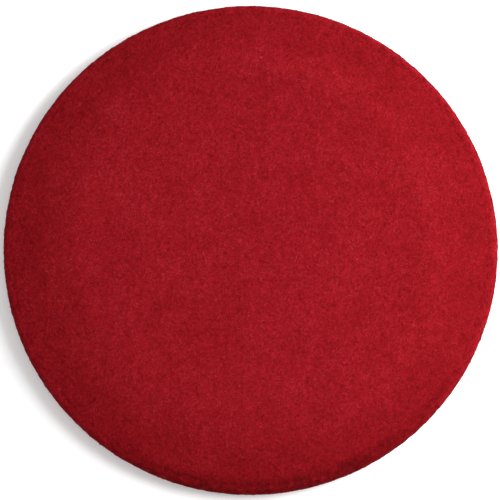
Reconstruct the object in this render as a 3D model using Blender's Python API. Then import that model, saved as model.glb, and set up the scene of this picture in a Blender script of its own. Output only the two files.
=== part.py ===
"""Round non-woven floor pad for a rotary floor machine, with its push-out centre plug.

Metres, +Z up. The origin is the centre of the underside. The underside is the side that the machine's
pad driver grips, and the crowned top is the side that works the floor. Pads of this kind are reversible.
"""

import math

import bmesh
import bpy
from mathutils import Matrix, Vector

# The pad as sold: 17 inches across and 1 inch thick.
PAD_DIAMETER = 0.432
PAD_THICKNESS = 0.0254

# The face is flat out to this share of the radius, and then falls away to the rim.
PLATEAU_SHARE = 0.69
SHOULDER_DROP = 0.0062
SHOULDER_EASE = 0.22  # share of the shoulder over which its slope builds up
RIM_ROUND = 0.0065  # the die presses the web down as it cuts, which rounds the top corner
FOOT_ROUND = 0.0022

# The centre is die-cut to 3 1/4 inches and pushes out, to let the machine's centring lock through.
PLUG_DIAMETER = 0.0826
CUT_WIDTH = 0.0008
BRIDGE_COUNT = 4
BRIDGE_WIDTH = 0.005
BRIDGE_GAP = 0.0003  # between a parted bridge's end and the plug
BRIDGE_MARGIN = 0.003  # the bridges stop this far short of each face
BRIDGE_ROOT = 0.003  # how far a bridge runs back into the web

SEGMENTS = 96
SHOULDER_STEPS = 7
RIM_STEPS = 5
FOOT_STEPS = 3

PAD_RADIUS = PAD_DIAMETER / 2
PLUG_RADIUS = PLUG_DIAMETER / 2
OPENING_RADIUS = PLUG_RADIUS + CUT_WIDTH
PLATEAU_RADIUS = PLATEAU_SHARE * PAD_RADIUS
SHOULDER_END = PAD_RADIUS - RIM_ROUND
RIM_HEIGHT = PAD_THICKNESS - SHOULDER_DROP

WEB_RED = (0.30, 0.008, 0.014, 1.0)
CORE_RED = (0.24, 0.006, 0.011, 1.0)


def clear_scene():
    for obj in list(bpy.data.objects):
        bpy.data.objects.remove(obj)


def web_material(name, colour):
    """Resin-coated polyester fibre: matt, with a slight sheen."""
    material = bpy.data.materials.new(name)
    material.use_nodes = True
    shader = material.node_tree.nodes["Principled BSDF"]
    shader.inputs["Base Color"].default_value = colour
    shader.inputs["Roughness"].default_value = 0.9
    shader.inputs["Metallic"].default_value = 0.0
    return material


def shoulder_height(share):
    """Height of the face at a share of the way down the shoulder: an eased start, then a steady slope."""
    if share < SHOULDER_EASE:
        run = share * share / (2 * SHOULDER_EASE)
    else:
        run = share - SHOULDER_EASE / 2
    return PAD_THICKNESS - SHOULDER_DROP * run / (1 - SHOULDER_EASE / 2)


def arc(centre, radius, start_deg, end_deg, steps):
    """Points (r, z) along an arc, without its first one."""
    points = []
    for step in range(1, steps + 1):
        angle = math.radians(start_deg + (end_deg - start_deg) * step / steps)
        points.append((centre[0] + radius * math.cos(angle), centre[1] + radius * math.sin(angle)))
    return points


def pad_outline():
    """Half-section (r, z) of the pad, from the opening's top edge outwards, down the rim and back below."""
    points = [(OPENING_RADIUS, PAD_THICKNESS), (PLATEAU_RADIUS, PAD_THICKNESS)]
    for step in range(1, SHOULDER_STEPS + 1):
        share = step / SHOULDER_STEPS
        radius = PLATEAU_RADIUS + (SHOULDER_END - PLATEAU_RADIUS) * share
        points.append((radius, shoulder_height(share)))
    points += arc((SHOULDER_END, RIM_HEIGHT - RIM_ROUND), RIM_ROUND, 90, 0, RIM_STEPS)
    foot_centre = (PAD_RADIUS - FOOT_ROUND, FOOT_ROUND)
    points.append((PAD_RADIUS, FOOT_ROUND))
    points += arc(foot_centre, FOOT_ROUND, 0, -90, FOOT_STEPS)
    points.append((OPENING_RADIUS, 0.0))
    return points


def plug_outline():
    return [(PLUG_RADIUS, PAD_THICKNESS), (PLUG_RADIUS, 0.0)]


def turned_mesh(name, outline, hollow):
    """Turns an outline about Z. A hollow one joins its last ring to its first, and a solid one is capped."""
    shape = bmesh.new()
    rings = []
    for radius, height in outline:
        ring = []
        for segment in range(SEGMENTS):
            angle = 2 * math.pi * segment / SEGMENTS
            ring.append(shape.verts.new((radius * math.cos(angle), radius * math.sin(angle), height)))
        rings.append(ring)
    pairs = list(zip(rings, rings[1:]))
    if hollow:
        pairs.append((rings[-1], rings[0]))
    for upper, lower in pairs:
        for segment in range(SEGMENTS):
            following = (segment + 1) % SEGMENTS
            shape.faces.new((upper[segment], lower[segment], lower[following], upper[following]))
    if not hollow:
        shape.faces.new(rings[0])
        shape.faces.new(reversed(rings[-1]))
    bmesh.ops.recalc_face_normals(shape, faces=shape.faces)
    mesh = bpy.data.meshes.new(name)
    shape.to_mesh(mesh)
    shape.free()
    return mesh


def add_part(name, mesh, material):
    part = bpy.data.objects.new(name, mesh)
    bpy.context.scene.collection.objects.link(part)
    mesh.materials.append(material)
    mesh.shade_smooth()
    mesh.set_sharp_from_angle(angle=math.radians(35))
    return part


def bridge_blocks(material):
    """Helper blocks for the bridges of web that the die leaves uncut. The pad's Booleans join them to it."""
    inner = PLUG_RADIUS + BRIDGE_GAP
    depth = OPENING_RADIUS + BRIDGE_ROOT - inner
    height = PAD_THICKNESS - 2 * BRIDGE_MARGIN
    blocks = []
    for index in range(BRIDGE_COUNT):
        shape = bmesh.new()
        bmesh.ops.create_cube(shape, size=1.0)
        bmesh.ops.scale(shape, vec=(depth, BRIDGE_WIDTH, height), verts=shape.verts)
        bmesh.ops.translate(shape, vec=(inner + depth / 2, 0, PAD_THICKNESS / 2), verts=shape.verts)
        turn = Matrix.Rotation(2 * math.pi * (index + 0.5) / BRIDGE_COUNT, 3, Vector((0, 0, 1)))
        bmesh.ops.rotate(shape, cent=(0, 0, 0), matrix=turn, verts=shape.verts)
        mesh = bpy.data.meshes.new(f"bridge_block_{index}")
        shape.to_mesh(mesh)
        shape.free()
        block = add_part(f"bridge_block_{index}", mesh, material)
        block.hide_render = True
        block.display_type = "WIRE"
        blocks.append(block)
    return blocks


def build():
    clear_scene()
    web = web_material("red_web", WEB_RED)
    core = web_material("red_core", CORE_RED)
    pad = add_part("pad_body", turned_mesh("pad_body", pad_outline(), hollow=True), web)
    for block in bridge_blocks(web):
        join = pad.modifiers.new(f"join_{block.name}", "BOOLEAN")
        join.operation = "UNION"
        join.object = block
    add_part("centre_plug", turned_mesh("centre_plug", plug_outline(), hollow=False), core)


build()
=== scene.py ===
"""Looks of a red non-woven floor pad: a web with real relief, and the fibres that lie on it.

Everything is in metres, in the CAD's frame. The working face, its rim and its edge are described as one
unrolled disc: a point (u, v) lies hypot(u, v) from the axis, measured along the surface, over the rim and
down the edge. The underside is a second, flat disc, and each cut wall is a band. Every surface knows its
tone, from 0, dark, to 1, pale, which also carries painted shade, and the materials turn tones into colours.
"""

import math
from collections import namedtuple

import bpy
import numpy as np
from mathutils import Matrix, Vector


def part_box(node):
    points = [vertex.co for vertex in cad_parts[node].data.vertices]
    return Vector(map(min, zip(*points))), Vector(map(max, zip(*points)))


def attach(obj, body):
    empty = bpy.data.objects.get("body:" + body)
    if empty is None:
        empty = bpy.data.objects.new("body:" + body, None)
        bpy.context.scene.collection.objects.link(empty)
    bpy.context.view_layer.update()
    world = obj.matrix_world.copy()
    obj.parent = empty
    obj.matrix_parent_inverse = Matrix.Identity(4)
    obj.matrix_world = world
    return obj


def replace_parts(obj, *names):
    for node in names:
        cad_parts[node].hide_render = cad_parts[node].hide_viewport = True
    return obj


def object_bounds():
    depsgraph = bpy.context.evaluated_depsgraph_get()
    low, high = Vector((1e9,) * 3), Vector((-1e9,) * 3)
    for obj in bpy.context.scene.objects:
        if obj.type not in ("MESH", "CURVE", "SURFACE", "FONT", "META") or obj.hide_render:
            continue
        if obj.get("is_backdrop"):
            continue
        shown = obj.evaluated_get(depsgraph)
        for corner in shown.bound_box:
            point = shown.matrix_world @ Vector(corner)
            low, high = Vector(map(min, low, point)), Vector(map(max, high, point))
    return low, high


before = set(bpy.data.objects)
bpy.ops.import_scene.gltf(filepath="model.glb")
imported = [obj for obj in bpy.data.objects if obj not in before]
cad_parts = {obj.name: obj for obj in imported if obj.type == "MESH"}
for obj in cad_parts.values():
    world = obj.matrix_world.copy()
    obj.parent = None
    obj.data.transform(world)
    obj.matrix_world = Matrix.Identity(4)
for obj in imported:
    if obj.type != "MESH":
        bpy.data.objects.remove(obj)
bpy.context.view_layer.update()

MM = 0.001

# Main sizes, from the frame.
PAD_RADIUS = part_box("pad_body")[1].x
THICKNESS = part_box("pad_body")[1].z
PLUG_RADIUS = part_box("centre_plug")[1].x

# The pad's section: the CAD's, but with a faint dish, a ridge round it and a slight bend in the shoulder.
PLATEAU_RADIUS = 0.69 * PAD_RADIUS
RIM_ROUND = 6.5 * MM
RIM_START = PAD_RADIUS - RIM_ROUND
FOOT_ROUND = 2.2 * MM
SHOULDER_DROP = 6.2 * MM
SHOULDER_EASE = 0.2  # share of the shoulder over which its slope builds up
SHOULDER_BEND = 0.7  # how much steeper it is at the rim than there, as a share
DISH_DEPTH = 0.9 * MM
RIDGE_HEIGHT = 0.25 * MM
RIDGE_RADIUS = 0.70 * PAD_RADIUS
RIDGE_WIDTH = 9 * MM

# The cut round the plug. It closes up towards the face, where the nap hides it, and four torn bridges of
# web stand out of the opening's wall.
CUT_WIDTH = 0.8 * MM
OPENING_RADIUS = PLUG_RADIUS + CUT_WIDTH
LIP_GAP = 0.04 * MM
LIP_START = 0.4 * MM
LIP_DEPTH = 3 * MM
LIP_WIDTH = (CUT_WIDTH - LIP_GAP) / 2
BRIDGE_COUNT = 4
BRIDGE_WIDTH = 5 * MM
BRIDGE_DEPTH = 0.5 * MM
BRIDGE_MARGIN = 3 * MM
BRIDGE_SIDE = (-0.6 * MM, 0.4 * MM)  # where a bridge starts to rise, and is full, past its nominal side

# Where the relief changes kind, as distances past the rim's start and short of the foot's end.
RIM_FADE = (-6 * MM, 4 * MM)
FOOT_FADE = (5 * MM, 2 * MM)

# Mesh density.
SECTION_STEP = 0.25 * MM
RIM_POINTS, FOOT_POINTS = 40, 16
FACE_STEP = 1.2 * MM
OPENING_SHELL = 36  # shells of quads from the axis to the opening
WALL_ROWS = 20
SHARP_ANGLE = math.radians(60)

# Noise. Each layer has a strength, a size of feature and a seed. Relief is in metres.
NOISE_MARGIN = 12 * MM  # how far the noise reaches past the face
Layer = namedtuple("Layer", "strength cell seed")
FACE_GRAIN = (Layer(0.07 * MM, 2.4 * MM, 20), Layer(0.05 * MM, 4 * MM, 21), Layer(0.05 * MM, 9 * MM, 22))
FACE_DENTS = (Layer(0.30 * MM, 62 * MM, 23), Layer(0.15 * MM, 31 * MM, 24))
RIM_TUFTS = (Layer(0.22 * MM, 5 * MM, 25), Layer(0.132 * MM, 2.5 * MM, 26))
BACK_GRAIN = (Layer(0.07 * MM, 2.4 * MM, 30), Layer(0.10 * MM, 6 * MM, 31))
PITS = (Layer(1, 4 * MM, 46),)
PIT_START = 0.9  # the noise above this makes a pit
PIT_RELIEF = 0.3 * MM
CUT_RELIEF = 0.12 * MM
CUT_CELLS = (1.5 * MM, 3.5 * MM)
CUT_START = 1.5 * MM  # depth at which a cut wall's roughness is full
OPENING_CUT_SEED, PLUG_CUT_SEED = 51, 53
BACK_SINK = 0.25 * MM  # keeps the underside's fibres off the floor
FIBRE_ROOT = 0.2 * MM  # how deep the ends of a lying fibre dive into the web
LOWEST_FIBRE = 0.15 * MM  # the floor presses lower fibres up to this height

# Tones of the web.
WEB_TONE = 0.5
WALL_TONE = 0.4
TONE_PATCHES = (Layer(0.04, 26 * MM, 41), Layer(0.025, 8 * MM, 42), Layer(0.045, 4.5 * MM, 43))
# painted shade: how much darker the pits are, where the web lies open
PIT_SHADE = 0.45
SHOULDER_SHADE = 0.095  # painted shade: how much darker the shoulder is
SHOULDER_SHADE_SPAN = (0.79, 0.91)  # shares of the rim's distance between which the band of painted shade darkens
SHOULDER_SHADE_LOSS = 0.7  # the share of it lost over the rim
SHOULDER_SHADE_END = (-4 * MM, 6 * MM)  # where, past the rim's start
RIM_SHADE = 0.32  # painted shade: how much darker the near side of the rim is
RIM_SHADE_ONSET = (-10 * MM, 1 * MM)  # where that painted shade builds up, past the rim's start
RIM_SHADE_LEVEL = 3 * MM  # and where it starts to fade down the edge
NEAR_SHADE_SPAN = (0.6, 1.0)  # cosines of the angle from the nearest point, where it is none and full
NEAR_SHADE_SKEW = 0.12  # turns the nearest point a little to the right
# uneven patches in the near side's painted shade
RIM_SHADE_PATCHES = (Layer(0.24, 4 * MM, 44), Layer(0.14, 2.2 * MM, 47))
PALE_CLUMPS = (Layer(1, 11 * MM, 45),)

# Fibres. Lengths, widths and rises above the web are ranges in millimetres. A fibre's tone is the web's
# there, plus tone, spread about by spread, and a share of them are pale.
FACE_LAYERS = 8
FACE_FIBRES = 60_800
EDGE_FIBRES = 7_000
EDGE_ENDS = 4_000
BACK_FIBRES = 7_500
WALL_FIBRES = 2_600
LOOSE_FIBRES = 14
FACE_SEED, EDGE_SEED, ENDS_SEED, BACK_SEED, OPENING_SEED, LOOSE_SEED = 100, 110, 111, 112, 113, 114
PLUG_FACE_SEED, PLUG_BACK_SEED, PLUG_SIDE_SEED = 120, 121, 122
EDGE_OVERLAP = 4 * MM  # how far the edge's fibres reach in over the face
EDGE_MARGIN, BACK_MARGIN, WALL_MARGIN = 1 * MM, 3 * MM, 1 * MM  # how far fibres keep from the foot
Look = namedtuple("Look", "points length width rise tone spread pale_share")
FACE_LOOK = Look(5, (3, 7), (0.15, 0.25), (0.0, 0.14), -0.12, 0.14, 0.18)
EDGE_LOOK = Look(5, (4, 9), (0.14, 0.28), (0.0, 0.28), -0.12, 0.13, 0.12)
BACK_LOOK = Look(5, (6, 14), (0.16, 0.30), (0.0, 0.15), -0.10, 0.13, 0.12)
WALL_LOOK = Look(5, (3, 9), (0.12, 0.22), (0.0, 0.06), -0.04, 0.13, 0.10)
LOOSE_LOOK = Look(10, (6, 13), (0.14, 0.20), (0.2, 0.8), 0.45, 0.03, 0.0)
HEADING_BIAS = 0.22  # makes fibres on a face lie along Y a little more often
EDGE_SPREAD, WALL_SPREAD = 0.45, 0.4  # in radians, about the way round the edge or the cut wall
TAPER = (0.35, 0.65)  # a fibre's width at its ends, and what its middle adds, as shares
# pale fibres: their whitish pink is partly painted sheen
PALE_TONE = 0.4
DIVE_SHADE = 0.15  # painted shade: how much darker a fibre's ends are, where they dive into the web
SLOW_WAVE, SLOW_SWING = (9, 22), 0.8  # a fibre's crimp: wavelengths in millimetres, swings in radians
FAST_WAVE, FAST_SWING = (3, 7), 0.45
END_LENGTH, END_WIDTH = (0.5, 1.5), (0.10, 0.18)  # cut ends, in millimetres
END_POINTS = 4
END_STANCE = (0.35, 1.3)  # from nearly lying to nearly upright
END_LEAN, END_BEND = 0.5, 0.35
END_TONE, END_SPREAD = 0.42, 0.15

# Colours, linear. The whitish pink at the pale ends of the web's and the fibres' ramps is partly their own
# paler colour and partly painted sheen.
WEB_STOPS = ((0.0, (0.100, 0.0024, 0.0038)), (0.35, (0.175, 0.0030, 0.0052)),
             (0.65, (0.256, 0.0053, 0.0100)), (1.0, (0.388, 0.0225, 0.0370)))
FIBRE_STOPS = ((0.0, (0.110, 0.0022, 0.0036)), (0.4, (0.210, 0.0034, 0.0066)),
               (0.75, (0.330, 0.0165, 0.0285)), (1.0, (0.480, 0.0520, 0.0780)))
FLOOR_STOPS = ((0.0, (0.94, 0.94, 0.94)), (1.0, (0.96, 0.96, 0.96)))
WEB_SPECULAR = 0.03
FIBRE_SPECULAR = 0.02
STRAND_ROUGHNESS, GAP_ROUGHNESS = 0.7, 0.95
FIBRE_ROUGHNESS = 0.5
FLOOR_ROUGHNESS = 0.8
BUMP_DEPTH = 0.2 * MM
WEB_BUMP, FIBRE_BUMP, FLOOR_BUMP = 0.6, 0.2, 0.05  # strengths

# Fine fibres of the web's material: the size of a patch and the shift that sets each layer apart, in metres.
WEB_LAYERS = ((3.2 * MM, 0.0), (4.3 * MM, 1.7), (5.6 * MM, 3.1))
SHIFT_WAY = (1, 0.3, 0.7)
PATCH_SPREAD = (90, 90, 90)  # sets the noise of each patch apart
FIBRE_TILT = 0.35
FIBRE_STRETCH = (230, 2300, 2300)
STRAND_NOISE = (0.45, 0.75)  # the noise at a strand's sides and at its middle
STRAND_CONTRAST, STRAND_MEAN = 0.7, 0.45
GAP_CONTRAST, GAP_MEAN = 0.36, 0.5
GAP_SCALE = 950
RESIN_SCALE = 1500
RESIN_CONTRAST = 0.2
FLOOR_SCALE = 300

# Camera and light. Angles are in degrees, and powers in watts.
CAMERA_AZIMUTH = -90
CAMERA_ELEVATION = 81.5
CAMERA_DISTANCE = 1.2145
CAMERA_AIM = Vector((-0.0006, -0.0052, THICKNESS / 2))
LENS = 100
WORLD_STRENGTH = 0.62
FLOOR_GLOW = 0.15  # thins the shadow, as the photograph has none
GLOW_REACH = 1.2
FLOOR_REACH = 20
FLOOR_GAP = 0.1 * MM
Softbox = namedtuple("Softbox", "azimuth elevation distance size power")
SOFTBOXES = (Softbox(0, 50, 0.9, 0.4, 7.1), Softbox(32, 25, 1.5, 0.7, 21))

# Where each surface lies in the bake's UV map.
UV_WALL_LEFT, UV_WALL_WIDTH = 0.65, 0.33
UV_WALL_TOP, UV_WALL_HEIGHT = 0.48, 0.06
UV_BACK = (0.81, 0.19, 0.18 / PAD_RADIUS)  # middle u, middle v, scale
UV_MARGIN, UV_LENGTH, UV_SIDE = 0.2, 0.6, 0.2  # of a fibre in its cell of the map, as shares


# ---------------------------------------------------------------- the pad's section


def smooth_step(low, high, value):
    share = np.clip((value - low) / (high - low), 0, 1)
    return share * share * (3 - 2 * share)


def shoulder_share(along):
    """Share of the drop at a share of the way down the shoulder: an eased start, then a growing slope."""
    def run(x):
        past = np.maximum(x - SHOULDER_EASE, 0)
        start = np.where(x < SHOULDER_EASE, x**2 / (2 * SHOULDER_EASE), SHOULDER_EASE / 2)
        return start + past + SHOULDER_BEND * past**2 / (2 * (1 - SHOULDER_EASE))
    return run(along) / run(np.float64(1))


def face_height(radius):
    """Mean height of the working face: a faint dish, a faint ridge round it, then the shoulder."""
    dish = DISH_DEPTH * (1 - np.clip(radius / RIDGE_RADIUS, 0, 1) ** 3)
    ridge = RIDGE_HEIGHT * np.exp(-(((radius - RIDGE_RADIUS) / RIDGE_WIDTH) ** 2))
    along = np.clip((radius - PLATEAU_RADIUS) / (RIM_START - PLATEAU_RADIUS), 0, 1)
    return THICKNESS - dish + ridge - SHOULDER_DROP * shoulder_share(along)


def section_line():
    """Arc length, radius, height and normal along the section, from the axis out, over the rim and down."""
    face_r = np.arange(0, RIM_START, SECTION_STEP)
    rim_top = float(face_height(RIM_START))
    turn = np.linspace(math.pi / 2, 0, RIM_POINTS)
    rim_r = RIM_START + RIM_ROUND * np.cos(turn)
    rim_z = rim_top - RIM_ROUND + RIM_ROUND * np.sin(turn)
    edge_z = np.arange(rim_top - RIM_ROUND - SECTION_STEP, FOOT_ROUND, -SECTION_STEP)
    turn = np.linspace(0, -math.pi / 2, FOOT_POINTS)
    foot_r = PAD_RADIUS - FOOT_ROUND + FOOT_ROUND * np.cos(turn)
    foot_z = FOOT_ROUND + FOOT_ROUND * np.sin(turn)
    radius = np.concatenate([face_r, rim_r, np.full_like(edge_z, PAD_RADIUS), foot_r])
    height = np.concatenate([face_height(face_r), rim_z, edge_z, foot_z])
    length = np.concatenate([[0], np.cumsum(np.hypot(np.diff(radius), np.diff(height)))])
    along_r = np.gradient(radius, length)
    along_z = np.gradient(height, length)
    size = np.hypot(along_r, along_z)
    return length, radius, height, -along_z / size, along_r / size


LINE_S, LINE_R, LINE_Z, LINE_NR, LINE_NZ = section_line()
FACE_REACH = float(LINE_S[-1])  # from the axis to the foot of the edge, along the surface
RIM_S = float(LINE_S[np.argmax(LINE_R >= RIM_START)])
OPENING_S = float(LINE_S[np.argmax(LINE_R >= OPENING_RADIUS)])
PLUG_S = OPENING_S - CUT_WIDTH
UV_FACE = (0.31, 0.31, 0.30 / (FACE_REACH + 3 * MM))


def outwards(u, v):
    """Cosine and sine of each point's angle round the axis."""
    reach = np.maximum(np.hypot(u, v), 1e-9)
    return u / reach, v / reach


def face_normal(u, v):
    reach = np.hypot(u, v)
    cosine, sine = outwards(u, v)
    flat = np.interp(reach, LINE_S, LINE_NR)
    return np.stack([flat * cosine, flat * sine, np.interp(reach, LINE_S, LINE_NZ)], axis=-1)


def on_face(u, v, lift):
    """Points of the face's unrolled disc in space, raised by lift along the surface's normal."""
    reach = np.hypot(u, v)
    cosine, sine = outwards(u, v)
    radius = np.interp(reach, LINE_S, LINE_R)
    mean = np.stack([radius * cosine, radius * sine, np.interp(reach, LINE_S, LINE_Z)], axis=-1)
    return mean + lift[..., None] * face_normal(u, v)


def back_normal(u, v):
    return np.stack([np.zeros_like(u), np.zeros_like(v), -np.ones_like(u)], axis=-1)


def on_back(u, v, lift):
    """Points of the underside, raised by lift away from it, which is downwards."""
    return np.stack([u, v, -lift], axis=-1)


# ---------------------------------------------------------------- relief


def between(table, x, y):
    """Bilinear samples of a table at fractional places."""
    x = np.clip(x, 0, table.shape[0] - 1.001)
    y = np.clip(y, 0, table.shape[1] - 1.001)
    i, j = x.astype(int), y.astype(int)
    fx, fy = x - i, y - j
    low = table[i, j] * (1 - fx) + table[i + 1, j] * fx
    high = table[i, j + 1] * (1 - fx) + table[i + 1, j + 1] * fx
    return low * (1 - fy) + high * fy


def lattice_noise(u, v, cell, seed):
    """Smooth noise from -1 to 1, with features about one cell across."""
    reach = FACE_REACH + NOISE_MARGIN
    size = int(2 * reach / cell) + 4
    table = np.random.default_rng(seed).uniform(-1, 1, (size, size))
    x, y = (u + reach) / cell, (v + reach) / cell
    i, j = np.floor(x), np.floor(y)
    return between(table, i + smooth_step(0, 1, x - i), j + smooth_step(0, 1, y - j))


def layered(u, v, layers):
    """The sum of layers of noise."""
    return sum(layer.strength * lattice_noise(u, v, layer.cell, layer.seed) for layer in layers)


def pits(u, v):
    """0 to 1: a few small places where the web lies open."""
    return smooth_step(PIT_START, 1, layered(u, v, PITS))


def face_relief(u, v):
    """How far the face stands above its mean surface. It runs level into the underside."""
    reach = np.hypot(u, v)
    rim = smooth_step(RIM_S + RIM_FADE[0], RIM_S + RIM_FADE[1], reach)
    foot = smooth_step(FACE_REACH - FOOT_FADE[0], FACE_REACH - FOOT_FADE[1], reach)
    uneven = layered(u, v, FACE_DENTS) * (1 - rim) + layered(u, v, RIM_TUFTS) * rim
    relief = layered(u, v, FACE_GRAIN) + uneven - PIT_RELIEF * pits(u, v)
    return relief * (1 - foot) - BACK_SINK * foot


def back_relief(u, v):
    return layered(u, v, BACK_GRAIN) - BACK_SINK


def bridge_relief(angle, height):
    """How far the torn bridges stand out of the opening's wall. The first one's middle is at 45 degrees."""
    def rising(side, value):
        return smooth_step(side + BRIDGE_SIDE[0], side + BRIDGE_SIDE[1], value)
    share = 2 * math.pi / BRIDGE_COUNT
    off_middle = abs((angle / share) % 1 - 0.5) * share * OPENING_RADIUS
    across = 1 - rising(BRIDGE_WIDTH / 2, off_middle)
    return BRIDGE_DEPTH * across * rising(BRIDGE_MARGIN, height) * rising(BRIDGE_MARGIN, THICKNESS - height)


# ---------------------------------------------------------------- surfaces that carry fibres


def disc_tone(u, v):
    """Soft patches, pits darkened with painted shade, a band of painted shade on the shoulder, and the
    darkest painted shade on the near side's rim.
    """
    reach = np.hypot(u, v)
    # a band of painted shade on the shoulder, where it slopes down
    band = smooth_step(SHOULDER_SHADE_SPAN[0] * RIM_S, SHOULDER_SHADE_SPAN[1] * RIM_S, reach)
    band = band * (1 - SHOULDER_SHADE_LOSS * smooth_step(RIM_S + SHOULDER_SHADE_END[0], RIM_S + SHOULDER_SHADE_END[1], reach))
    # painted shade on the near side of the rim
    rim = smooth_step(RIM_S + RIM_SHADE_ONSET[0], RIM_S + RIM_SHADE_ONSET[1], reach)
    rim = rim * (1 - smooth_step(RIM_S + RIM_SHADE_LEVEL, FACE_REACH, reach))
    near = smooth_step(*NEAR_SHADE_SPAN, (NEAR_SHADE_SKEW * u - v) / np.maximum(reach, MM))
    tone = WEB_TONE + layered(u, v, TONE_PATCHES) - PIT_SHADE * pits(u, v) - SHOULDER_SHADE * band
    return tone - near * rim * (RIM_SHADE + layered(u, v, RIM_SHADE_PATCHES))


class Disc:
    """A ring of an unrolled disc, from one distance from the axis to another."""

    tone = staticmethod(disc_tone)

    def __init__(self, place, normal, relief, inner, outer):
        self.place, self.normal, self.relief = place, normal, relief
        self.inner, self.outer = inner, outer

    def scatter(self, rng, count):
        """Even random points."""
        reach = np.sqrt(rng.uniform(self.inner**2, self.outer**2, count))
        angle = rng.uniform(0, 2 * math.pi, count)
        return reach * np.cos(angle), reach * np.sin(angle)

    def headings(self, rng, u, v):
        """Every way on a face, a little more often along Y, and mostly round the axis past the rim."""
        free = rng.uniform(0, math.pi, len(u))
        free = free + HEADING_BIAS * np.sin(2 * free)
        around = np.arctan2(v, u) + math.pi / 2 + rng.normal(0, EDGE_SPREAD, len(u))
        return np.where(np.hypot(u, v) > RIM_S, around, free)

    def held(self, u, v):
        """The points moved into the ring, and whether each was in it."""
        reach = np.maximum(np.hypot(u, v), 1e-9)
        kept = np.clip(reach, self.inner, self.outer)
        return u * kept / reach, v * kept / reach, kept == reach


class CutWall:
    """A cut wall. u runs round it and v is the height. side is 1 on the plug and -1 on the opening."""

    def __init__(self, radius, side, seed):
        self.radius, self.side = radius, side
        self.layers = [Layer(1, cell, seed + index) for index, cell in enumerate(CUT_CELLS)]
        self.top = float(face_height(radius))

    def relief(self, u, v):
        angle, drop = u / self.radius, self.top - v
        lip = LIP_WIDTH * (1 - smooth_step(LIP_START, LIP_DEPTH, drop))
        x, y = (self.radius + drop) * np.cos(angle), (self.radius + drop) * np.sin(angle)
        uneven = layered(x, y, self.layers) - 1
        cut = CUT_RELIEF * uneven * smooth_step(0, CUT_START, drop)
        return lip + cut + (bridge_relief(angle, v) if self.side < 0 else 0)

    def tone(self, u, v):
        return np.full_like(u, WALL_TONE)

    def place(self, u, v, lift):
        reach = self.radius + self.side * lift
        return np.stack([reach * np.cos(u / self.radius), reach * np.sin(u / self.radius), v], axis=-1)

    def normal(self, u, v):
        angle = u / self.radius
        return self.side * np.stack([np.cos(angle), np.sin(angle), np.zeros_like(v)], axis=-1)

    def scatter(self, rng, count):
        round_way = rng.uniform(0, 2 * math.pi * self.radius, count)
        return round_way, rng.uniform(LIP_DEPTH, self.top - LIP_DEPTH, count)

    def headings(self, rng, u, v):
        return rng.normal(0, WALL_SPREAD, len(u))

    def held(self, u, v):
        kept = np.clip(v, WALL_MARGIN, self.top - LIP_DEPTH)
        return u, kept, kept == v


# ---------------------------------------------------------------- meshes from arrays


def build_mesh(name, points, tone, quads, quad_uvs, tris, tri_uvs, material):
    """A smooth mesh with the bake's UV map and the attribute tone, which the materials turn into colour."""
    mesh = bpy.data.meshes.new(name)
    corners = np.concatenate([quads.ravel(), tris.ravel()])
    starts = np.concatenate([4 * np.arange(len(quads)), 4 * len(quads) + 3 * np.arange(len(tris))])
    mesh.vertices.add(len(points))
    mesh.vertices.foreach_set("co", points.astype(np.float32).ravel())
    mesh.loops.add(len(corners))
    mesh.loops.foreach_set("vertex_index", corners.astype(np.int32))
    mesh.polygons.add(len(starts))
    mesh.polygons.foreach_set("loop_start", starts.astype(np.int32))
    uvs = np.concatenate([quad_uvs.reshape(-1, 2), tri_uvs.reshape(-1, 2)])
    mesh.uv_layers.new(name="OFBake").uv.foreach_set("vector", uvs.astype(np.float32).ravel())
    mesh.attributes.new("tone", "FLOAT", "POINT").data.foreach_set("value", tone.astype(np.float32))
    mesh.materials.append(material)
    mesh.update(calc_edges=True)
    mesh.shade_smooth()
    return mesh


def add_piece(mesh, body):
    piece = bpy.data.objects.new(mesh.name, mesh)
    bpy.context.scene.collection.objects.link(piece)
    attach(piece, body)
    return piece


# ---------------------------------------------------------------- the web


class Grid:
    """A square grid bent into a disc, so that its quads stay even. It keeps shells inner to outer."""

    def __init__(self, inner, outer):
        span = np.arange(-outer, outer + 1)
        i, j = np.meshgrid(span, span, indexing="ij")
        shell = np.maximum(abs(i), abs(j))
        safe_i, safe_j = np.where(i == 0, 1, i), np.where(j == 0, 1, j)
        wide = math.pi / 4 * j / safe_i + np.where(i > 0, 0, math.pi)
        tall = math.pi / 2 - math.pi / 4 * i / safe_j + np.where(j > 0, 0, math.pi)
        angle = np.where(abs(i) >= abs(j), wide, tall)
        used = shell >= inner
        number = np.full(shell.shape, -1)
        number[used] = np.arange(used.sum())
        self.shell, self.angle = shell[used], angle[used] % (2 * math.pi)
        corners = [number[:-1, :-1], number[1:, :-1], number[1:, 1:], number[:-1, 1:]]
        around = [shell[:-1, :-1], shell[1:, :-1], shell[1:, 1:], shell[:-1, 1:]]
        self.quads = np.stack(corners, axis=-1)[np.maximum.reduce(around) > inner]

    def ring(self, shell):
        """The numbers of one shell's points, in order round the axis."""
        found = np.nonzero(self.shell == shell)[0]
        order = np.rint(self.angle[found] * 4 * shell / math.pi).astype(int) % (8 * shell)
        ring = np.empty(8 * shell, int)
        ring[order] = found
        return ring


def halving_strip(fine, coarse):
    """Triangles between a ring of points and one with half as many."""
    f0, f1, f2 = fine[0::2], fine[1::2], np.roll(fine, -2)[0::2]
    c0, c1 = coarse, np.roll(coarse, -1)
    return np.concatenate([np.stack(t, axis=-1) for t in ((f0, c0, f1), (f1, c0, c1), (f1, c1, f2))])


def disc_uv(place, u, v):
    return np.stack([place[0] + u * place[2], place[1] + v * place[2]], axis=-1)


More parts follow.
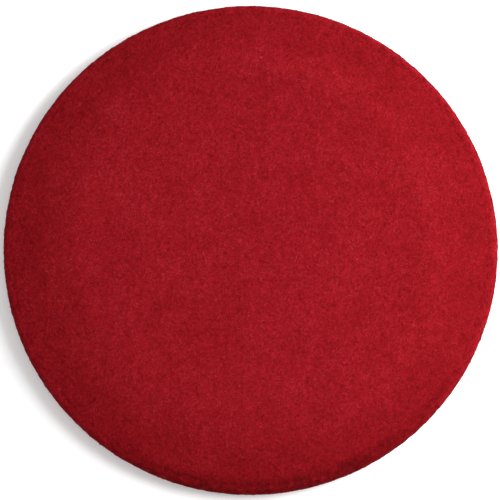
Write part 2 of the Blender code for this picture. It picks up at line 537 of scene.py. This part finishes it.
def wall_uv(corners):
    """UVs of a wall's face corners. A face across the seam keeps its corners on one side of it."""
    angle = np.arctan2(corners[..., 1], corners[..., 0]) % (2 * math.pi)
    angle = np.where(angle < angle.max(axis=1, keepdims=True) - math.pi, angle + 2 * math.pi, angle)
    across = UV_WALL_LEFT + UV_WALL_WIDTH * angle / (2 * math.pi)
    return np.stack([across, UV_WALL_TOP - UV_WALL_HEIGHT * (1 - corners[..., 2] / THICKNESS)], axis=-1)


class Web:
    """Gathers the points and faces of one closed piece of web."""

    def __init__(self):
        self.points, self.tones = np.empty((0, 3)), np.empty(0)
        self.quads, self.quad_uvs, self.tris, self.tri_uvs = [], [], [], []

    def add_points(self, points, tone):
        """Adds points and returns their numbers."""
        first = len(self.points)
        self.points = np.concatenate([self.points, points])
        self.tones = np.concatenate([self.tones, tone])
        return first + np.arange(len(points))

    def add_disc(self, grid, reach, place, relief, uv_place):
        """Adds a face. reach holds each point's distance from the axis. Returns the points' numbers."""
        u, v = reach * np.cos(grid.angle), reach * np.sin(grid.angle)
        numbers = self.add_points(place(u, v, relief(u, v)), disc_tone(u, v))
        quads = grid.quads if place is on_face else grid.quads[:, ::-1]
        self.quads.append(numbers[quads])
        self.quad_uvs.append(disc_uv(uv_place, u[quads], v[quads]))
        return numbers

    def add_edge(self, upper, lower):
        """Joins the face's outermost ring to the underside's, under the foot."""
        tris = halving_strip(upper, lower)
        corners = self.points[tris]
        cosine, sine = outwards(corners[..., 0], corners[..., 1])
        reach = np.where(np.isin(tris, upper), FACE_REACH, FACE_REACH + FACE_STEP)
        self.tris.append(tris)
        self.tri_uvs.append(disc_uv(UV_FACE, reach * cosine, reach * sine))

    def add_wall(self, wall, upper, lower):
        """Adds a cut wall from the face's ring of points to the underside's."""
        around = np.arange(len(upper)) * 2 * math.pi / len(upper) * wall.radius
        rings = [upper]
        for row in range(1, WALL_ROWS):
            height = np.full_like(around, wall.top * (1 - row / WALL_ROWS))
            points = wall.place(around, height, wall.relief(around, height))
            rings.append(self.add_points(points, wall.tone(around, height)))
        turn = slice(None, None, -wall.side)
        for above, below in zip(rings, rings[1:]):
            quads = np.stack([above, np.roll(above, -1), np.roll(below, -1), below], axis=-1)[:, turn]
            self.quads.append(quads)
            self.quad_uvs.append(wall_uv(self.points[quads]))
        tris = halving_strip(rings[-1], lower)[:, :: wall.side]
        self.tris.append(tris)
        self.tri_uvs.append(wall_uv(self.points[tris]))

    def mesh(self, name, material):
        mesh = build_mesh(name, self.points, self.tones, np.concatenate(self.quads),
                          np.concatenate(self.quad_uvs), np.concatenate(self.tris),
                          np.concatenate(self.tri_uvs), material)
        mesh.set_sharp_from_angle(angle=SHARP_ANGLE)
        return mesh


def pad_web(wall, material):
    """The pad's body: face, rim, edge, underside and the wall of the centre opening, closed."""
    half_shells = round((FACE_REACH - OPENING_S) / (2 * FACE_STEP))
    outer_shell = OPENING_SHELL + 2 * half_shells
    face, back = Grid(OPENING_SHELL, outer_shell), Grid(OPENING_SHELL // 2, outer_shell // 2)
    out = (face.shell - OPENING_SHELL) / (outer_shell - OPENING_SHELL)
    face_reach = OPENING_S + (FACE_REACH - OPENING_S) * out - LIP_WIDTH * (out == 0)
    out = (back.shell - OPENING_SHELL // 2) / half_shells
    back_reach = OPENING_RADIUS + (PAD_RADIUS - FOOT_ROUND - FACE_STEP - OPENING_RADIUS) * out
    web = Web()
    top = web.add_disc(face, face_reach, on_face, face_relief, UV_FACE)
    bottom = web.add_disc(back, back_reach, on_back, back_relief, UV_BACK)
    web.add_edge(top[face.ring(outer_shell)], bottom[back.ring(outer_shell // 2)])
    web.add_wall(wall, top[face.ring(OPENING_SHELL)], bottom[back.ring(OPENING_SHELL // 2)])
    return web.mesh("pad_web", material)


def plug_web(wall, material):
    """The centre plug: the same web, with a cut wall all round."""
    face, back = Grid(0, OPENING_SHELL), Grid(0, OPENING_SHELL // 2)
    out = face.shell / OPENING_SHELL
    web = Web()
    top = web.add_disc(face, PLUG_S * out + LIP_WIDTH * (out == 1), on_face, face_relief, UV_FACE)
    bottom = web.add_disc(back, PLUG_RADIUS * back.shell * 2 / OPENING_SHELL, on_back, back_relief, UV_BACK)
    web.add_wall(wall, top[face.ring(OPENING_SHELL)], bottom[back.ring(OPENING_SHELL // 2)])
    return web.mesh("plug_web", material)


# ---------------------------------------------------------------- fibres


def curl_paths(rng, middle_u, middle_v, heading, length, points):
    """Crimped fibres, whose headings swing with two waves each. Returns u and v, each (fibres, points)."""
    count = len(middle_u)
    along = np.linspace(0, 1, points)[None, :] * length[:, None]
    slow_wave = rng.uniform(*SLOW_WAVE, (count, 1)) * MM
    fast_wave = rng.uniform(*FAST_WAVE, (count, 1)) * MM
    slow_phase, fast_phase = rng.uniform(0, 2 * math.pi, (2, count, 1))
    slow_swing, fast_swing = rng.normal(0, SLOW_SWING, (count, 1)), rng.normal(0, FAST_SWING, (count, 1))
    angle = heading[:, None] + slow_swing * np.sin(2 * math.pi * along / slow_wave + slow_phase)
    angle = angle + fast_swing * np.sin(2 * math.pi * along / fast_wave + fast_phase)
    step = (length / (points - 1))[:, None]
    u = np.cumsum(np.cos(angle) * step, axis=1)
    v = np.cumsum(np.sin(angle) * step, axis=1)
    u = u - u.mean(1, keepdims=True) + middle_u[:, None]
    return u, v - v.mean(1, keepdims=True) + middle_v[:, None]


def unit(vectors):
    return vectors / (np.linalg.norm(vectors, axis=-1, keepdims=True) + 1e-12)


def tube_uvs(count, steps):
    """Each fibre has its own cell of the UV map: (fibres, points, four columns, the last for the seam)."""
    cells = math.ceil(math.sqrt(count))
    fibre = np.arange(count)[:, None, None]
    u = (fibre % cells + UV_MARGIN + UV_LENGTH * np.linspace(0, 1, steps)[None, :, None]) / cells
    v = (fibre // cells + UV_MARGIN + UV_SIDE * np.arange(4)[None, None, :]) / cells
    return np.stack(np.broadcast_arrays(u, v), axis=-1)


def fibre_mesh(name, points, normals, width, tone, material):
    """Three-sided tapered tubes along paths (fibres, points, 3), with a tone for each point of each path."""
    points = np.concatenate([points[..., :2], np.maximum(points[..., 2:], LOWEST_FIBRE)], axis=-1)
    count, steps = points.shape[:2]
    tangent = unit(np.gradient(points, axis=1))
    side = unit(np.cross(tangent, normals))
    above = np.cross(side, tangent)
    taper = TAPER[0] + TAPER[1] * np.sin(np.linspace(0, math.pi, steps)) ** 0.5
    radius = (width[:, None] / 2 * taper)[..., None]
    turns = [math.pi / 2 + corner * 2 * math.pi / 3 for corner in range(3)]
    rings = [points + radius * (math.cos(turn) * side + math.sin(turn) * above) for turn in turns]
    number = np.arange(count * steps * 3).reshape(count, steps, 3)
    uv = tube_uvs(count, steps)
    quads, quad_uvs = [], []
    for corner in range(3):
        a, b = number[..., corner], number[..., (corner + 1) % 3]
        quads.append(np.stack([a[:, :-1], a[:, 1:], b[:, 1:], b[:, :-1]], axis=-1))
        a, b = uv[:, :, corner], uv[:, :, corner + 1]
        quad_uvs.append(np.stack([a[:, :-1], a[:, 1:], b[:, 1:], b[:, :-1]], axis=-2))
    tris = np.concatenate([number[:, 0, :], number[:, -1, ::-1]])
    tri_uvs = np.concatenate([uv[:, 0, :3], uv[:, -1, 2::-1]])
    return build_mesh(name, np.stack(rings, axis=2).reshape(-1, 3), np.repeat(tone.ravel(), 3),
                      np.stack(quads).reshape(-1, 4), np.stack(quad_uvs).reshape(-1, 4, 2),
                      tris, tri_uvs, material)


def fibre_tones(rng, surface, u, v, look):
    """Each fibre has its own tone, on top of the web's with its painted shade; a few are pale, in clumps, and
    all darken with painted shade where they dive into the web.
    """
    pale = rng.uniform(0, 1, len(u)) < look.pale_share * (1 + layered(u, v, PALE_CLUMPS))
    tone = surface.tone(u, v) + rng.normal(look.tone, look.spread, len(u)) + PALE_TONE * pale
    dive_shade = DIVE_SHADE * (1 - np.sin(np.linspace(0, math.pi, look.points)))
    return np.clip(tone[:, None] - dive_shade[None, :], 0, 1)


def lying_fibres(name, seed, surface, count, look, material):
    """Fibres that lie on a surface, dive into it at both ends and rise over each other between."""
    rng = np.random.default_rng(seed)
    middle_u, middle_v = surface.scatter(rng, count)
    heading = surface.headings(rng, middle_u, middle_v)
    length = rng.uniform(*look.length, count) * MM
    u, v, inside = surface.held(*curl_paths(rng, middle_u, middle_v, heading, length, look.points))
    arch = np.sin(np.linspace(0, math.pi, look.points))[None, :]
    rise = rng.uniform(*look.rise, (count, 1)) * MM
    ground = surface.relief(u, v)
    lift = np.where(inside, ground - FIBRE_ROOT * (1 - arch) + rise * arch, ground - 2 * FIBRE_ROOT)
    width = rng.uniform(*look.width, count) * MM
    return fibre_mesh(name, surface.place(u, v, lift), surface.normal(u, v), width,
                      fibre_tones(rng, surface, middle_u, middle_v, look), material)


def cut_ends(name, seed, surface, count, material):
    """Short ends of cut fibres, which stand out of the die-cut edge."""
    rng = np.random.default_rng(seed)
    u, v = surface.scatter(rng, count)
    out = surface.normal(u, v)
    lean = unit(out * rng.uniform(*END_STANCE, (count, 1)) + rng.normal(0, END_LEAN, (count, 3)))
    root = surface.place(u, v, surface.relief(u, v) - FIBRE_ROOT)
    along = np.linspace(0, 1, END_POINTS)[None, :, None]
    length = rng.uniform(*END_LENGTH, (count, 1, 1)) * MM
    bend = rng.normal(0, END_BEND, (count, 1, 3))
    points = root[:, None] + length * (along * lean[:, None] + along**2 * bend)
    tone = np.clip(rng.normal(END_TONE, END_SPREAD, (count, 1)), 0, 1)
    normals = np.broadcast_to(np.roll(out, 1, axis=1)[:, None], points.shape)
    width = rng.uniform(*END_WIDTH, count) * MM
    return fibre_mesh(name, points, normals, width, np.repeat(tone, END_POINTS, axis=1), material)


# ---------------------------------------------------------------- materials


def node_material(name):
    material = bpy.data.materials.new(name)
    material.use_nodes = True
    return material, material.node_tree.nodes, material.node_tree.links


def colour_ramp(nodes, stops):
    ramp = nodes.new("ShaderNodeValToRGB")
    elements = ramp.color_ramp.elements
    for place, _ in stops[1:-1]:
        elements.new(place)
    for element, (place, colour) in zip(elements, stops):
        element.position = place
        element.color = (*colour, 1)
    return ramp


def maths(nodes, links, kind, operation, *values):
    """A node of one operation, with constants set and sockets linked. Returns its first output."""
    node = nodes.new(kind)
    node.operation = operation
    for socket, value in zip(node.inputs, values):
        if isinstance(value, bpy.types.NodeSocket):
            links.new(value, socket)
        else:
            socket.default_value = value
    return node.outputs[0]


def number_maths(nodes, links, operation, *values):
    return maths(nodes, links, "ShaderNodeMath", operation, *values)


def vector_maths(nodes, links, operation, *values):
    return maths(nodes, links, "ShaderNodeVectorMath", operation, *values)


def noise(nodes, links, vector, scale, detail):
    node = nodes.new("ShaderNodeTexNoise")
    node.inputs["Scale"].default_value = scale
    node.inputs["Detail"].default_value = detail
    links.new(vector, node.inputs["Vector"])
    return node.outputs["Fac"]


def map_range(nodes, links, value, from_min, from_max, to_min, to_max):
    node = nodes.new("ShaderNodeMapRange")
    node.inputs["From Min"].default_value = from_min
    node.inputs["From Max"].default_value = from_max
    node.inputs["To Min"].default_value = to_min
    node.inputs["To Max"].default_value = to_max
    links.new(value, node.inputs["Value"])
    return node.outputs["Result"]


def fine_fibres(nodes, links, place, patch, shift):
    """One layer of fine fibres. In each patch of the web they run their own way, nearly flat."""
    moved = vector_maths(nodes, links, "ADD", place, tuple(part * shift for part in SHIFT_WAY))
    patches = nodes.new("ShaderNodeTexVoronoi")
    patches.inputs["Scale"].default_value = 1 / patch
    links.new(moved, patches.inputs["Vector"])
    local = vector_maths(nodes, links, "SUBTRACT", moved, patches.outputs["Position"])
    turn = vector_maths(nodes, links, "MULTIPLY_ADD", patches.outputs["Color"],
                        (2 * FIBRE_TILT, 2 * FIBRE_TILT, 2 * math.pi), (-FIBRE_TILT, -FIBRE_TILT, 0))
    turned = nodes.new("ShaderNodeVectorRotate")
    turned.rotation_type = "EULER_XYZ"
    links.new(local, turned.inputs["Vector"])
    links.new(turn, turned.inputs["Rotation"])
    stretched = vector_maths(nodes, links, "MULTIPLY", turned.outputs["Vector"], FIBRE_STRETCH)
    own = vector_maths(nodes, links, "MULTIPLY_ADD", patches.outputs["Color"], PATCH_SPREAD, stretched)
    return map_range(nodes, links, noise(nodes, links, own, 1, 1), *STRAND_NOISE, 0, 1)


def tone_colour(nodes, links, tone, stops, shader):
    ramp = colour_ramp(nodes, stops)
    links.new(tone, ramp.inputs["Fac"])
    links.new(ramp.outputs["Color"], shader.inputs["Base Color"])


def add_bump(nodes, links, height, strength, shader):
    bump = nodes.new("ShaderNodeBump")
    bump.inputs["Strength"].default_value = strength
    bump.inputs["Distance"].default_value = BUMP_DEPTH
    links.new(height, bump.inputs["Height"])
    links.new(bump.outputs["Normal"], shader.inputs["Normal"])


def tone_attribute(nodes):
    tone = nodes.new("ShaderNodeAttribute")
    tone.attribute_name = "tone"
    return tone.outputs["Fac"]


def web_material():
    """The web: layers of fine fibres over darker gaps, whose darkness is painted shade down among the fibres,
    with a matching bump and roughness.
    """
    material, nodes, links = node_material("red_web")
    shader = nodes["Principled BSDF"]
    place = nodes.new("ShaderNodeTexCoord").outputs["Object"]
    layers = [fine_fibres(nodes, links, place, patch, shift) for patch, shift in WEB_LAYERS]
    fibres = number_maths(nodes, links, "MAXIMUM", layers[0], layers[1])
    fibres = number_maths(nodes, links, "MAXIMUM", fibres, layers[2])
    gaps = noise(nodes, links, place, GAP_SCALE, 2)
    # the tone falls where the fine fibres are missing: painted shade in the gaps between them
    tone = number_maths(nodes, links, "MULTIPLY_ADD", fibres, STRAND_CONTRAST, tone_attribute(nodes))
    tone = number_maths(nodes, links, "MULTIPLY_ADD", gaps, GAP_CONTRAST, tone)
    middle = GAP_MEAN * GAP_CONTRAST + STRAND_MEAN * STRAND_CONTRAST
    tone = number_maths(nodes, links, "SUBTRACT", tone, middle)
    tone_colour(nodes, links, tone, WEB_STOPS, shader)
    rough = map_range(nodes, links, fibres, 0, 1, GAP_ROUGHNESS, STRAND_ROUGHNESS)
    links.new(rough, shader.inputs["Roughness"])
    add_bump(nodes, links, number_maths(nodes, links, "ADD", fibres, gaps), WEB_BUMP, shader)
    shader.inputs["Specular IOR Level"].default_value = WEB_SPECULAR
    return material


def fibre_material():
    """Single fibres: a resin skin with a dull shine, uneven along each, in its own tone."""
    material, nodes, links = node_material("red_fibre")
    shader = nodes["Principled BSDF"]
    place = nodes.new("ShaderNodeTexCoord").outputs["Object"]
    resin = noise(nodes, links, place, RESIN_SCALE, 1)
    tone = number_maths(nodes, links, "MULTIPLY_ADD", resin, RESIN_CONTRAST, tone_attribute(nodes))
    tone = number_maths(nodes, links, "SUBTRACT", tone, RESIN_CONTRAST / 2)
    tone_colour(nodes, links, tone, FIBRE_STOPS, shader)
    add_bump(nodes, links, resin, FIBRE_BUMP, shader)
    shader.inputs["Roughness"].default_value = FIBRE_ROUGHNESS
    shader.inputs["Specular IOR Level"].default_value = FIBRE_SPECULAR
    return material


def add_glow(nodes, links, place, shader):
    """A faint light from the floor round the pad, which fades out with distance."""
    fade = nodes.new("ShaderNodeTexGradient")
    fade.gradient_type = "SPHERICAL"
    scaled = vector_maths(nodes, links, "DIVIDE", place, (GLOW_REACH, GLOW_REACH, GLOW_REACH))
    links.new(scaled, fade.inputs["Vector"])
    glow = number_maths(nodes, links, "MULTIPLY", fade.outputs["Fac"], FLOOR_GLOW)
    links.new(glow, shader.inputs["Emission Strength"])
    shader.inputs["Emission Color"].default_value = (1, 1, 1, 1)


def floor_material():
    material, nodes, links = node_material("pale_floor")
    shader = nodes["Principled BSDF"]
    place = nodes.new("ShaderNodeTexCoord").outputs["Object"]
    grain = noise(nodes, links, place, FLOOR_SCALE, 3)
    tone_colour(nodes, links, grain, FLOOR_STOPS, shader)
    add_bump(nodes, links, grain, FLOOR_BUMP, shader)
    add_glow(nodes, links, place, shader)
    shader.inputs["Roughness"].default_value = FLOOR_ROUGHNESS
    return material


# ---------------------------------------------------------------- the object


def add_pad(opening, web, fibre):
    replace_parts(add_piece(pad_web(opening, web), "pad"), "pad_body")
    face = Disc(on_face, face_normal, face_relief, OPENING_S, RIM_S)
    edge = Disc(on_face, face_normal, face_relief, RIM_S - EDGE_OVERLAP, FACE_REACH - EDGE_MARGIN)
    back = Disc(on_back, back_normal, back_relief, OPENING_RADIUS, PAD_RADIUS - BACK_MARGIN)
    meshes = [lying_fibres(f"face_fibres_{layer + 1}", FACE_SEED + layer, face,
                           FACE_FIBRES // FACE_LAYERS, FACE_LOOK, fibre) for layer in range(FACE_LAYERS)]
    meshes.append(lying_fibres("edge_fibres", EDGE_SEED, edge, EDGE_FIBRES, EDGE_LOOK, fibre))
    meshes.append(cut_ends("edge_ends", ENDS_SEED, edge, EDGE_ENDS, fibre))
    meshes.append(lying_fibres("back_fibres", BACK_SEED, back, BACK_FIBRES, BACK_LOOK, fibre))
    meshes.append(lying_fibres("opening_fibres", OPENING_SEED, opening, WALL_FIBRES, WALL_LOOK, fibre))
    meshes.append(lying_fibres("loose_fibres", LOOSE_SEED, face, LOOSE_FIBRES, LOOSE_LOOK, fibre))
    for mesh in meshes:
        add_piece(mesh, "pad")


def add_plug(side, web, fibre):
    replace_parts(add_piece(plug_web(side, web), "plug"), "centre_plug")
    face = Disc(on_face, face_normal, face_relief, 0, PLUG_S)
    back = Disc(on_back, back_normal, back_relief, 0, PLUG_RADIUS)
    face_count = round(FACE_FIBRES * OPENING_S**2 / (RIM_S**2 - OPENING_S**2))
    back_count = round(BACK_FIBRES * PLUG_RADIUS**2 / (PAD_RADIUS**2 - PLUG_RADIUS**2))
    meshes = [
        lying_fibres("plug_face_fibres", PLUG_FACE_SEED, face, face_count, FACE_LOOK, fibre),
        lying_fibres("plug_back_fibres", PLUG_BACK_SEED, back, back_count, BACK_LOOK, fibre),
        lying_fibres("plug_side_fibres", PLUG_SIDE_SEED, side, WALL_FIBRES, WALL_LOOK, fibre),
    ]
    for mesh in meshes:
        add_piece(mesh, "plug")


def build_object():
    web, fibre = web_material(), fibre_material()
    add_pad(CutWall(OPENING_RADIUS, -1, OPENING_CUT_SEED), web, fibre)
    add_plug(CutWall(PLUG_RADIUS, 1, PLUG_CUT_SEED), web, fibre)


# ---------------------------------------------------------------- floor, light and camera


def aim(obj, target):
    obj.rotation_euler = (Vector(target) - obj.location).to_track_quat("-Z", "Y").to_euler()


def direction(azimuth, elevation):
    azimuth, elevation = math.radians(azimuth), math.radians(elevation)
    flat = math.cos(elevation)
    return Vector((flat * math.cos(azimuth), flat * math.sin(azimuth), math.sin(elevation)))


def add_softbox(box):
    light = bpy.data.lights.new("softbox", "AREA")
    light.size = box.size
    light.energy = box.power
    obj = bpy.data.objects.new("softbox", light)
    bpy.context.scene.collection.objects.link(obj)
    obj.location = box.distance * direction(box.azimuth, box.elevation)
    aim(obj, (0, 0, THICKNESS))


def add_floor():
    mesh = bpy.data.meshes.new("floor")
    far = FLOOR_REACH
    corners = [(-far, -far, 0), (far, -far, 0), (far, far, 0), (-far, far, 0)]
    mesh.from_pydata(corners, [], [(0, 1, 2, 3)])
    mesh.materials.append(floor_material())
    floor = bpy.data.objects.new("floor", mesh)
    floor.location.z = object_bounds()[0][2] - FLOOR_GAP
    bpy.context.scene.collection.objects.link(floor)
    floor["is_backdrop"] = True


def studio():
    scene = bpy.context.scene
    scene.view_settings.view_transform = "Standard"
    scene.world = bpy.data.worlds.new("studio")
    scene.world.use_nodes = True
    background = scene.world.node_tree.nodes["Background"]
    background.inputs["Color"].default_value = (1, 1, 1, 1)
    background.inputs["Strength"].default_value = WORLD_STRENGTH
    for box in SOFTBOXES:
        add_softbox(box)
    add_floor()


def camera():
    """Looks almost straight down, tipped a little towards the near edge."""
    data = bpy.data.cameras.new("camera")
    data.lens = LENS
    obj = bpy.data.objects.new("camera", data)
    bpy.context.scene.collection.objects.link(obj)
    obj.location = CAMERA_AIM + CAMERA_DISTANCE * direction(CAMERA_AZIMUTH, CAMERA_ELEVATION)
    aim(obj, CAMERA_AIM)
    bpy.context.scene.camera = obj


build_object()
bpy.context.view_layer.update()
studio()
camera()
